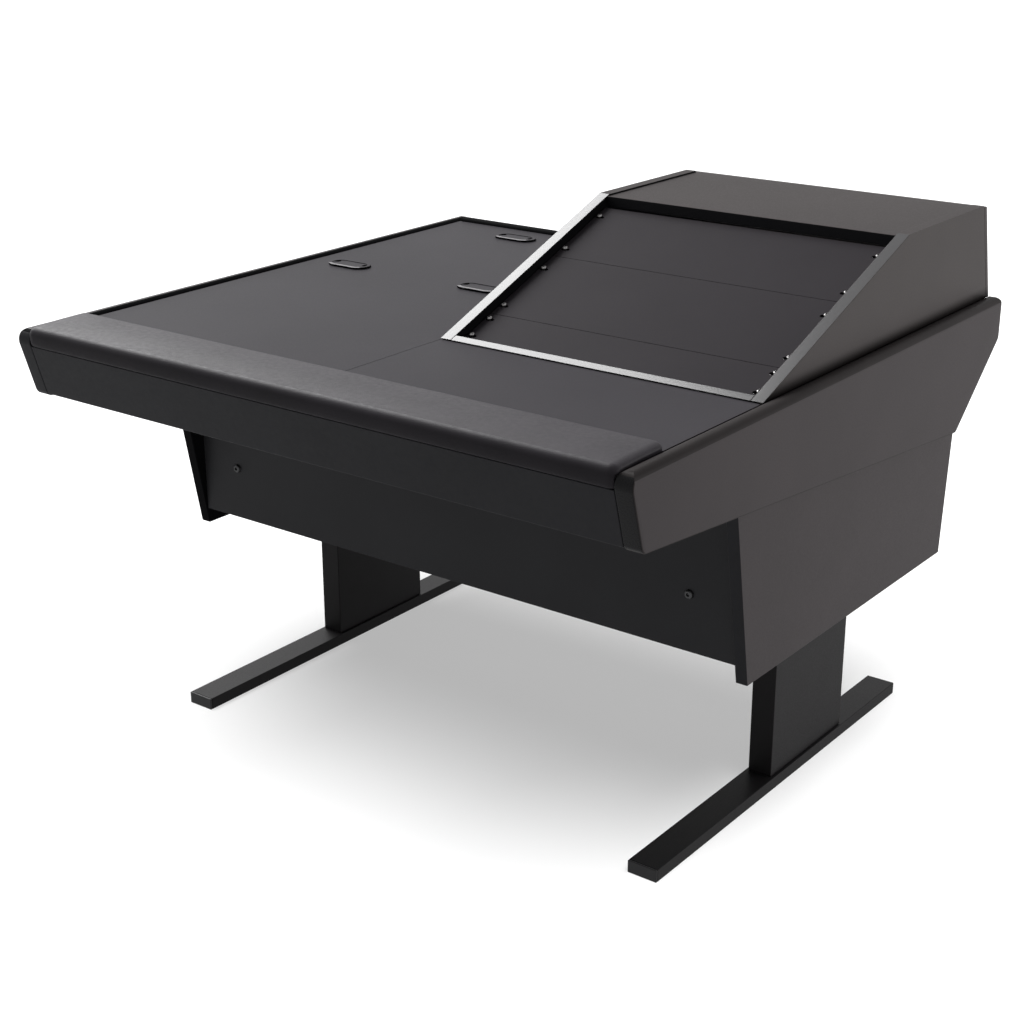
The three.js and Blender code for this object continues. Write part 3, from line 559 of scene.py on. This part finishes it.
for place in ("left", "middle", "rear"):
    low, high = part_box("grommet_liner_" + place)
    lid = "grommet_lid_" + place
    easedCopy("grommet_liner_" + place, place + "GrommetLiner", grommetValues["liner"],
              rimFace((low[1] + high[1]) / 2))
    easedCopy(lid, place + "GrommetLid", {**grommetValues["lid"], "body": nodes[lid]["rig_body"]})
print("stage: boards and steel dressed")

# Armrest pad: vinyl drawn over foam, with a crown, a rolled nose and soft ends
padValues = {
    "front": -0.515, "rear": -0.410, "half": 0.5098, "footHalf": 0.5069,
    "top": 0.669, "waist": 0.657, "foot": 0.651, "noseFoot": 0.638,
    "nose": 0.0137, "noseRound": 0.012, "rearRound": 0.006, "endRound": 0.013,
    "tuck": -0.5108, "frontFall": 0.002, "crown": 0.0018, "crownRun": 0.09,
    "endDraw": 0.55,       # the soft ends draw in by this share of their round
    "sway": 0.00035, "swayScale": 9.0, "swayShift": 0.3, "swayStart": 0.002,
    "arcSteps": 14, "topSteps": 26, "endSteps": 12, "spanSteps": 150,
}


def quarterTurn(steps):
    return [i / steps * math.pi / 2 for i in range(steps + 1)]


# One section of the pad, from its rear foot over the top and round the nose
def padRing(values, x, drawnIn, crown):
    front = values["front"] + drawnIn
    rear = values["rear"] - drawnIn
    top = values["top"] - drawnIn
    noseTop = top - values["frontFall"]
    nose = values["noseRound"] - drawnIn / 2
    noseFoot = values["noseFoot"] + drawnIn / 2
    tuck = values["tuck"] + drawnIn / 2
    back = values["rearRound"]
    turns = quarterTurn(values["arcSteps"])
    start, end = rear - back, front + nose
    points = [(rear, values["foot"])]
    points += [(start + back * math.cos(a), top - back + back * math.sin(a)) for a in turns]
    for i in range(1, values["topSteps"] + 1):
        t = i / values["topSteps"]
        points.append((start + (end - start) * t,
                       top + crown * math.sin(math.pi * t) - values["frontFall"] * t ** 3))
    points += [(end - nose * math.sin(a), noseTop - nose + nose * math.cos(a)) for a in turns[1:]]
    fall = noseTop - nose - noseFoot
    points += [(front + (tuck - front) * (1 - math.cos(a)), noseTop - nose - fall * math.sin(a))
               for a in turns[1:]]
    points.append((values["front"] + values["nose"], noseFoot))
    points.append((values["front"] + values["nose"], values["foot"]))
    return [Vector((x, y, z)) for y, z in points]


# Where each section stands, how far it is drawn in and how high its crown is
def padStations(values):
    ends = []
    for a in quarterTurn(values["endSteps"]):
        inFromEnd = values["endRound"] * (1 - math.cos(a))
        drawnIn = values["endRound"] * (1 - math.sin(a)) * values["endDraw"]
        ends.append((values["half"] - inFromEnd, drawnIn, 0.0))
    inner = values["half"] - values["endRound"]
    span = []
    for i in range(1, values["spanSteps"]):
        x = inner - 2 * inner * i / values["spanSteps"]
        rise = min(1.0, (inner - abs(x)) / values["crownRun"])
        span.append((x, 0.0, values["crown"] * rise * (2 - rise)))
    return ends + span + [(-x, drawnIn, crown) for x, drawnIn, crown in ends[::-1]]


def makePad(values):
    shell = bmesh.new()
    rings = []
    for x, drawnIn, crown in padStations(values):
        ring = padRing(values, x, drawnIn, crown)
        for point in ring:
            if point.z < values["waist"]:
                point.x = max(-values["footHalf"], min(values["footHalf"], point.x))
            if point.z > values["foot"] + values["swayStart"]:
                wave = noise.noise(point * values["swayScale"]) - values["swayShift"]
                point.z += values["sway"] * wave
        rings.append([shell.verts.new(point) for point in ring])
    bridgeLoops(shell, rings)
    shell.faces.new(rings[0][::-1])
    shell.faces.new(rings[-1])
    bmesh.ops.recalc_face_normals(shell, faces=shell.faces)
    for face in shell.faces:
        face.smooth = len(face.verts) == 4
    mesh = bpy.data.meshes.new("armrestPad")
    shell.to_mesh(mesh)
    shell.free()
    mesh.materials.append(materials["pad"])
    pad = addObject("armrestPad", mesh)
    settle(pad, "desk", "vinyl_pad", "armrest_pad")


makePad(padValues)
print("stage: armrest pad made")

# Screws: one turned head with a cross recess, set out by a node group
screwValues = {
    "headRadius": 0.0042, "headHeight": 0.003, "shankRadius": 0.0028, "length": 0.0142, "neck": 0.0001,
    "rimShare": 0.97, "rimRise": 0.25, "domeFoot": 0.42, "domePower": 2.2,
    "crossHalf": 0.0008, "crossReach": 0.0027, "crossDepth": 0.0014, "centreSink": 1.2,
    "rings": 12, "sides": 48, "sharpAngle": 38, "turnSeed": 7,
    "rimOutside": 0.0041,  # points of the solid further from its axis than this are its rim
}


def makeScrewHead(values):
    shell = bmesh.new()
    head, height = values["headRadius"], values["headHeight"]
    turns = [2 * math.pi * i / values["sides"] for i in range(values["sides"])]
    profile = [(values["shankRadius"], -values["length"]), (values["shankRadius"], -values["neck"]),
               (head * values["rimShare"], 0.0), (head, height * values["rimRise"])]
    loops = [[shell.verts.new((radius * math.cos(a), radius * math.sin(a), z)) for a in turns]
             for radius, z in profile]
    for k in range(1, values["rings"]):
        share = 1 - k / values["rings"]
        radius = head * share
        arch = math.sqrt(max(0.0, 1 - share ** values["domePower"]))
        dome = height * (values["domeFoot"] + (1 - values["domeFoot"]) * arch)
        loop = []
        for a in turns:
            x, y = radius * math.cos(a), radius * math.sin(a)
            arm = min(abs(x), abs(y)) < values["crossHalf"] and max(abs(x), abs(y)) < values["crossReach"]
            loop.append(shell.verts.new((x, y, dome - (values["crossDepth"] if arm else 0.0))))
        loops.append(loop)
    bridgeLoops(shell, loops)
    shell.faces.new(loops[0][::-1])
    centre = shell.verts.new((0, 0, height - values["crossDepth"] * values["centreSink"]))
    last = loops[-1]
    for i in range(len(last)):
        shell.faces.new((last[i], last[(i + 1) % len(last)], centre))
    bmesh.ops.recalc_face_normals(shell, faces=shell.faces)
    for face in shell.faces:
        face.smooth = True
    mesh = bpy.data.meshes.new("screwShape")
    shell.to_mesh(mesh)
    shell.free()
    mesh.set_sharp_from_angle(angle=math.radians(values["sharpAngle"]))
    return addObject("screwShape", mesh)


# Stands the shape on every point, tilted alike and each turned by chance about its own axis
def makeRepeatGroup(name):
    group = bpy.data.node_groups.new(name, "GeometryNodeTree")
    inputs = {"Geometry": "Geometry", "Shape": "Object", "Tilt": "Vector", "Turn Seed": "Int",
              "Finish": "Material"}
    for label, kind in inputs.items():
        group.interface.new_socket(label, in_out="INPUT", socket_type="NodeSocket" + kind)
    group.interface.new_socket("Geometry", in_out="OUTPUT", socket_type="NodeSocketGeometry")
    start = addNode(group, "NodeGroupInput")
    end = addNode(group, "NodeGroupOutput")
    shape = addNode(group, "GeometryNodeObjectInfo")
    place = addNode(group, "GeometryNodeInstanceOnPoints")
    turn = addNode(group, "GeometryNodeRotateInstances")
    chance = addNode(group, "FunctionNodeRandomValue", data_type="FLOAT_VECTOR")
    chance.inputs[0].default_value = (0, 0, 0)
    chance.inputs[1].default_value = (0, 0, 2 * math.pi)
    real = addNode(group, "GeometryNodeRealizeInstances")
    finish = addNode(group, "GeometryNodeSetMaterial")
    for source, target in (
        (start.outputs["Shape"], shape.inputs["Object"]),
        (start.outputs["Geometry"], place.inputs["Points"]),
        (shape.outputs["Geometry"], place.inputs["Instance"]),
        (start.outputs["Tilt"], place.inputs["Rotation"]),
        (place.outputs["Instances"], turn.inputs["Instances"]),
        (start.outputs["Turn Seed"], chance.inputs["Seed"]),
        (chance.outputs[0], turn.inputs["Rotation"]),
        (turn.outputs["Instances"], real.inputs["Geometry"]),
        (real.outputs["Geometry"], finish.inputs["Geometry"]),
        (start.outputs["Finish"], finish.inputs["Material"]),
        (finish.outputs["Geometry"], end.inputs["Geometry"]),
    ):
        group.links.new(source, target)
    return group


def setOut(name, group, points, wanted):
    mesh = bpy.data.meshes.new(name + "Points")
    mesh.from_pydata([tuple(point) for point in points], [], [])
    carrier = addObject(name + "Carrier", mesh)
    modifier = carrier.modifiers.new("repeat", "NODES")
    modifier.node_group = group
    for item in group.interface.items_tree:
        if item.in_out == "INPUT" and item.name in wanted:
            modifier[item.identifier] = wanted[item.name]
    bpy.context.view_layer.update()
    graph = bpy.context.evaluated_depsgraph_get()
    made = bpy.data.meshes.new_from_object(carrier.evaluated_get(graph))
    made.name = name
    bpy.data.objects.remove(carrier)
    return addObject(name, made)


# The middle of a screw's rim, at the height where the rim starts
def headPlace(node, normal, rimOutside):
    points = [vertex.co for vertex in nodes[node].data.vertices]
    low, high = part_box(node)
    centre = (low + high) / 2
    rim = [point for point in points if (point - centre).cross(normal).length > rimOutside]
    middle = sum(rim, Vector()) / len(rim)
    foot = min(point.dot(normal) for point in rim)
    return middle + normal * (foot - middle.dot(normal))


screwNodes = ["rack_screw_" + side + "_" + str(i) for side in ("left", "right") for i in range(1, 7)]
repeatGroup = makeRepeatGroup("setOut")
screwShape = makeScrewHead(screwValues)
screwPlaces = [headPlace(node, slopeNormal, screwValues["rimOutside"]) for node in screwNodes]
rackScrews = setOut("rackScrews", repeatGroup, screwPlaces, {
    "Shape": screwShape, "Tilt": (turretValues["slope"], 0, 0),
    "Turn Seed": screwValues["turnSeed"], "Finish": materials["plated"]})
bpy.data.objects.remove(screwShape)
settle(rackScrews, "desk", "screw", *screwNodes)
print("stage: screws set out")

# Pieces that stay as the frame has them get their finish here
keptFinish = {
    "timber": ("armrest_board", "front_rail", "rear_rail", "side_rail_left", "side_rail_right",
               "panel_cleat_left", "panel_cleat_right"),
    "steel": ("rack_rail_left", "rack_rail_right", "modesty_bracket_left", "modesty_bracket_right"),
    "blackBolt": ("modesty_bolt_left", "modesty_bolt_right"),
}
for finish, keptNodes in keptFinish.items():
    for node in keptNodes:
        mesh = nodes[node].data
        mesh.materials.clear()
        mesh.materials.append(materials[finish])
print("stage: kept pieces finished")

# Floor, lamps and surroundings. The floor has one colour for the camera, one for reflections and one for
# the light that it throws back, and ownShare of it is white by itself.
floorValues = {
    "half": 14.0, "seen": (0.97, 0.97, 0.97), "mirrored": (0.55, 0.55, 0.55), "bounce": (0.24, 0.24, 0.24),
    "ownShare": 0.45,
}
lampValues = {
    "key": {"kind": "SUN", "way": (-0.75, 0.25, 0.61), "angle": 40.0, "power": 3.2, "lights": "object"},
    "over": {"kind": "SUN", "way": (0.05, -0.16, 1.0), "angle": 66.0, "power": 6.5, "lights": "floor"},
    "side": {"kind": "AREA", "place": (2.7, 1.1, 1.15), "aim": (0.3, 0.1, 0.5), "size": (1.8, 1.4),
             "power": 24.0, "lights": "object"},
}
worldValues = {"fill": 0.075}


# One where the ray is of a named kind, else zero
def rayIs(tree, *kinds):
    path = addNode(tree, "ShaderNodeLightPath")
    found = path.outputs["Is " + kinds[0] + " Ray"]
    for kind in kinds[1:]:
        either = addNode(tree, "ShaderNodeMath", operation="MAXIMUM")
        tree.links.new(found, either.inputs[0])
        tree.links.new(path.outputs["Is " + kind + " Ray"], either.inputs[1])
        found = either.outputs[0]
    return found


def mixShaders(tree, share, first, second):
    mix = addNode(tree, "ShaderNodeMixShader")
    if isinstance(share, float):
        mix.inputs["Fac"].default_value = share
    else:
        tree.links.new(share, mix.inputs["Fac"])
    tree.links.new(first, mix.inputs[1])
    tree.links.new(second, mix.inputs[2])
    return mix.outputs[0]


def plainShader(tree, kind, colour):
    shader = addNode(tree, kind)
    shader.inputs["Color"].default_value = (*colour, 1)
    return shader.outputs[0]


def makeFloor(values):
    half = values["half"]
    corners = [(-half, -half, 0), (half, -half, 0), (half, half, 0), (-half, half, 0)]
    mesh = bpy.data.meshes.new("floor")
    mesh.from_pydata(corners, [], [(0, 1, 2, 3)])
    floor = addObject("floor", mesh)
    material = bpy.data.materials.new("floor")
    material.use_nodes = True
    tree = material.node_tree
    tree.nodes.remove(tree.nodes["Principled BSDF"])
    seen, mirrored, bounce = (plainShader(tree, "ShaderNodeBsdfDiffuse", values[key])
                              for key in ("seen", "mirrored", "bounce"))
    own = plainShader(tree, "ShaderNodeEmission", (1, 1, 1))
    seen = mixShaders(tree, values["ownShare"], seen, own)
    mirrored = mixShaders(tree, values["ownShare"], mirrored, own)
    unseen = mixShaders(tree, rayIs(tree, "Glossy", "Transmission"), bounce, mirrored)
    whole = mixShaders(tree, rayIs(tree, "Camera"), unseen, seen)
    tree.links.new(whole, tree.nodes["Material Output"].inputs["Surface"])
    mesh.materials.append(material)
    return floor


def makeLamp(name, values, receivers):
    data = bpy.data.lights.new(name, values["kind"])
    data.energy = values["power"]
    lamp = bpy.data.objects.new(name, data)
    if values["kind"] == "SUN":
        data.angle = math.radians(values["angle"])
        way = Vector(values["way"])
    else:
        data.shape = "RECTANGLE"
        data.size, data.size_y = values["size"]
        lamp.location = values["place"]
        lamp.visible_camera = False
        way = Vector(values["place"]) - Vector(values["aim"])
    lamp.rotation_euler = way.to_track_quat("Z", "Y").to_euler()
    scene.collection.objects.link(lamp)
    lamp.light_linking.receiver_collection = receivers[values["lights"]]


def makeWorld(values):
    world = bpy.data.worlds.new("surroundings")
    scene.world = world
    world.use_nodes = True
    tree = world.node_tree
    fill = tree.nodes["Background"]
    fill.inputs["Color"].default_value = (1, 1, 1, 1)
    fill.inputs["Strength"].default_value = values["fill"]
    white = plainShader(tree, "ShaderNodeBackground", (1, 1, 1))
    mixed = mixShaders(tree, rayIs(tree, "Camera", "Glossy", "Transmission"), fill.outputs[0], white)
    tree.links.new(mixed, tree.nodes["World Output"].inputs["Surface"])


receivers = {"object": bpy.data.collections.new("object"), "floor": bpy.data.collections.new("floor")}
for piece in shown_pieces():
    receivers["object"].objects.link(piece)
receivers["floor"].objects.link(makeFloor(floorValues))
for lampName, values in lampValues.items():
    makeLamp(lampName, values, receivers)
makeWorld(worldValues)
print("stage: floor and lamps placed")
